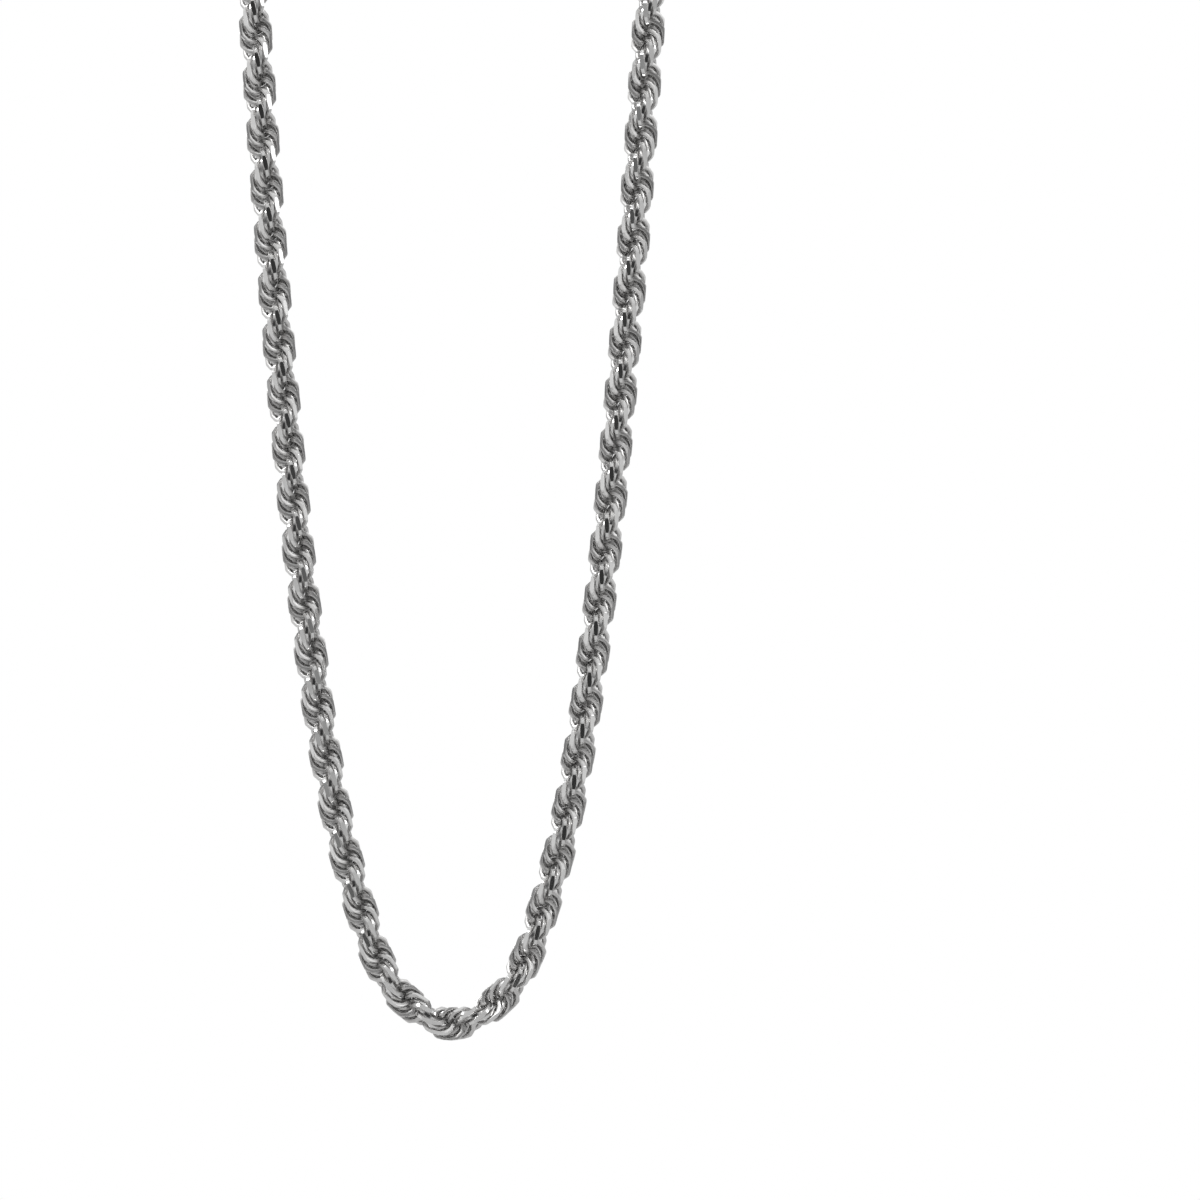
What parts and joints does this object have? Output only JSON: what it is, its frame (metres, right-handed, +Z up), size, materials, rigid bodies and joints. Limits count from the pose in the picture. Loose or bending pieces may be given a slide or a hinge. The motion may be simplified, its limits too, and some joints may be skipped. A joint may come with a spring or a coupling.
{
  "type": "rope chain necklace",
  "caption": "Twisted silver rope chain necklace in a closed loop, with end caps, a jump ring and a fastened lobster clasp whose thumb lever opens the gate.",
  "frame": {"origin": "middle of the top of the loop, on the clasp's long axis, where the necklace hangs", "axes": "+Z up, the loop lies in the XZ plane, its front faces -Y, and +X runs along the clasp from its tail eye to its hook"},
  "size_m": [0.0678, 0.0058, 0.2393],
  "materials": {
    "rope_silver": "polished and diamond-cut sterling silver wire",
    "cap_silver": "polished sterling silver sheet with drawn lines along it",
    "clasp_silver": "polished cast sterling silver"
  },
  "bodies": {
    "necklace": {"rope": "rope_silver", "end_cap_left": "cap_silver", "end_cap_right": "cap_silver", "jump_ring": "clasp_silver", "clasp_body": "clasp_silver"},
    "lever": {"clasp_lever": "clasp_silver"}
  },
  "joints": [
    {"name": "lever_pivot", "type": "hinge", "parent": "necklace", "child": "lever", "pos_m": [0.00173, 0, -0.00122], "axis": [0, -1, 0], "range_deg": [0, 28], "stiffness_Nm_per_rad": 0.01, "springref_deg": -20.05}
  ]
}
